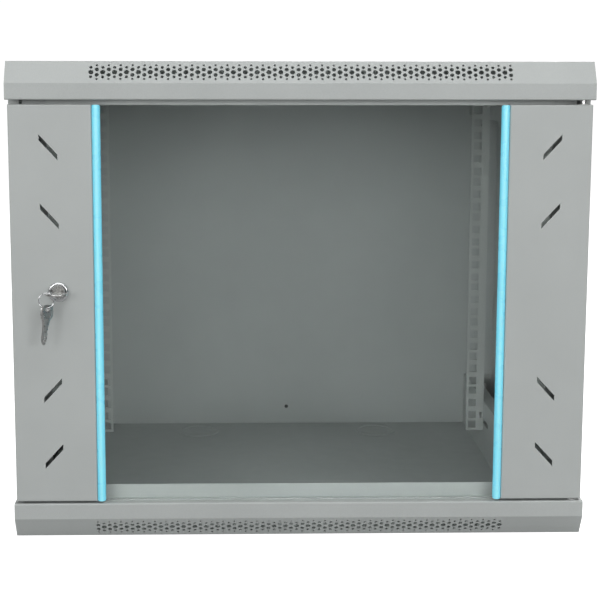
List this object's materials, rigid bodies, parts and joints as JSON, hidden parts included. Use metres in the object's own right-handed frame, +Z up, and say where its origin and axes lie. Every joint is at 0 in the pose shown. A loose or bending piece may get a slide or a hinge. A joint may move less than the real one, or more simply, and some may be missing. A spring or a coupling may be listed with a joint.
{
  "type": "network server rack cabinet",
  "caption": "Wall-mounted rack cabinet with a glass door, perforated covers, adjustable square-hole rails and lift-off side panels.",
  "frame": {"origin": "centre of the underside, on the surface that the cabinet stands on", "axes": "+X to the right as seen from the front, +Y from the door to the back, +Z up"},
  "size_m": [0.6038, 0.4752, 0.5],
  "materials": {
    "cabinet_paint": "fine satin powder coat, light grey",
    "rail_steel": "satin powder coat",
    "door_glass": "clear toughened glass with a faint grey-green tint",
    "trim_plastic": "pale cyan translucent plastic",
    "chrome": "polished chrome plate",
    "zinc": "bright zinc plate",
    "nylon": "natural nylon",
    "rubber": "black rubber",
    "spring_steel": "spring wire"
  },
  "bodies": {
    "cabinet": {"bottom_cover": "cabinet_paint", "top_cover": "cabinet_paint", "bottom_knockouts": "cabinet_paint", "top_knockouts": "cabinet_paint", "rear_panel": "cabinet_paint", "front_post_left": "cabinet_paint", "front_post_right": "cabinet_paint", "rear_post_left": "cabinet_paint", "rear_post_right": "cabinet_paint", "lower_beam_left": "cabinet_paint", "lower_beam_right": "cabinet_paint", "upper_beam_left": "cabinet_paint", "upper_beam_right": "cabinet_paint", "front_rail_left": "rail_steel", "front_rail_right": "rail_steel", "rear_rail_left": "rail_steel", "rear_rail_right": "rail_steel", "frame_bolts": "zinc", "frame_nuts": "zinc", "rail_screws": "zinc", "rail_nuts": "zinc", "lower_hinge_pin": "zinc", "door_buffers": "rubber", "latch_strike_left": "zinc", "latch_strike_right": "zinc", "hole_plug": "rubber"},
    "door": {"door_plate_left": "cabinet_paint", "door_plate_right": "cabinet_paint", "door_glass": "door_glass", "door_trim_left": "trim_plastic", "door_trim_right": "trim_plastic", "glazing_tape_left": "rubber", "glazing_tape_right": "rubber", "lower_hinge_bush": "nylon", "upper_hinge_bush": "nylon", "upper_pin_bracket": "zinc", "pin_spring": "spring_steel", "lock_housing": "chrome", "lock_nut": "zinc"},
    "hinge_pin": {"upper_hinge_pin": "zinc"},
    "lock": {"lock_plug": "chrome", "lock_cam": "zinc", "cam_screw": "zinc", "door_key": "chrome"},
    "ring": {"key_ring": "chrome"},
    "hanging_key": {"spare_key": "chrome"},
    "side_left": {"side_panel_left": "cabinet_paint"},
    "side_right": {"side_panel_right": "cabinet_paint"},
    "latch_left": {"side_latch_left": "chrome"},
    "latch_right": {"side_latch_right": "chrome"}
  },
  "joints": [
    {"name": "door_hinge", "type": "hinge", "parent": "cabinet", "child": "door", "pos_m": [0.289, -0.216, 0.25], "axis": [0, 0, 1], "range_deg": [0, 180]},
    {"name": "upper_pin_pull", "type": "slide", "parent": "door", "child": "hinge_pin", "axis": [0, 0, -1], "range_m": [0, 0.009], "stiffness_N_per_m": 400, "springref_m": -0.01, "deforming": ["pin_spring"]},
    {"name": "lock_turn", "type": "hinge", "parent": "door", "child": "lock", "pos_m": [-0.249, -0.216, 0.2649], "axis": [0, 1, 0], "range_deg": [0, 90]},
    {"name": "ring_swing", "type": "hinge", "parent": "lock", "child": "ring", "pos_m": [-0.259, -0.24341, 0.2667], "axis": [-0.9903, -0.1392, 0], "range_deg": [-10, 10]},
    {"name": "spare_key_swing", "type": "hinge", "parent": "ring", "child": "hanging_key", "pos_m": [-0.259, -0.24341, 0.2513], "axis": [-0.9903, -0.1392, 0], "range_deg": [-15, 15]},
    {"name": "left_panel_pull", "type": "slide", "parent": "cabinet", "child": "side_left", "axis": [-1, 0, 0], "range_m": [0, 0.06]},
    {"name": "right_panel_pull", "type": "slide", "parent": "cabinet", "child": "side_right", "axis": [1, 0, 0], "range_m": [0, 0.06]},
    {"name": "left_latch_turn", "type": "hinge", "parent": "side_left", "child": "latch_left", "pos_m": [-0.3, 0, 0.432], "axis": [1, 0, 0], "range_deg": [0, 90]},
    {"name": "right_latch_turn", "type": "hinge", "parent": "side_right", "child": "latch_right", "pos_m": [0.3, 0, 0.432], "axis": [1, 0, 0], "range_deg": [0, 90]}
  ]
}
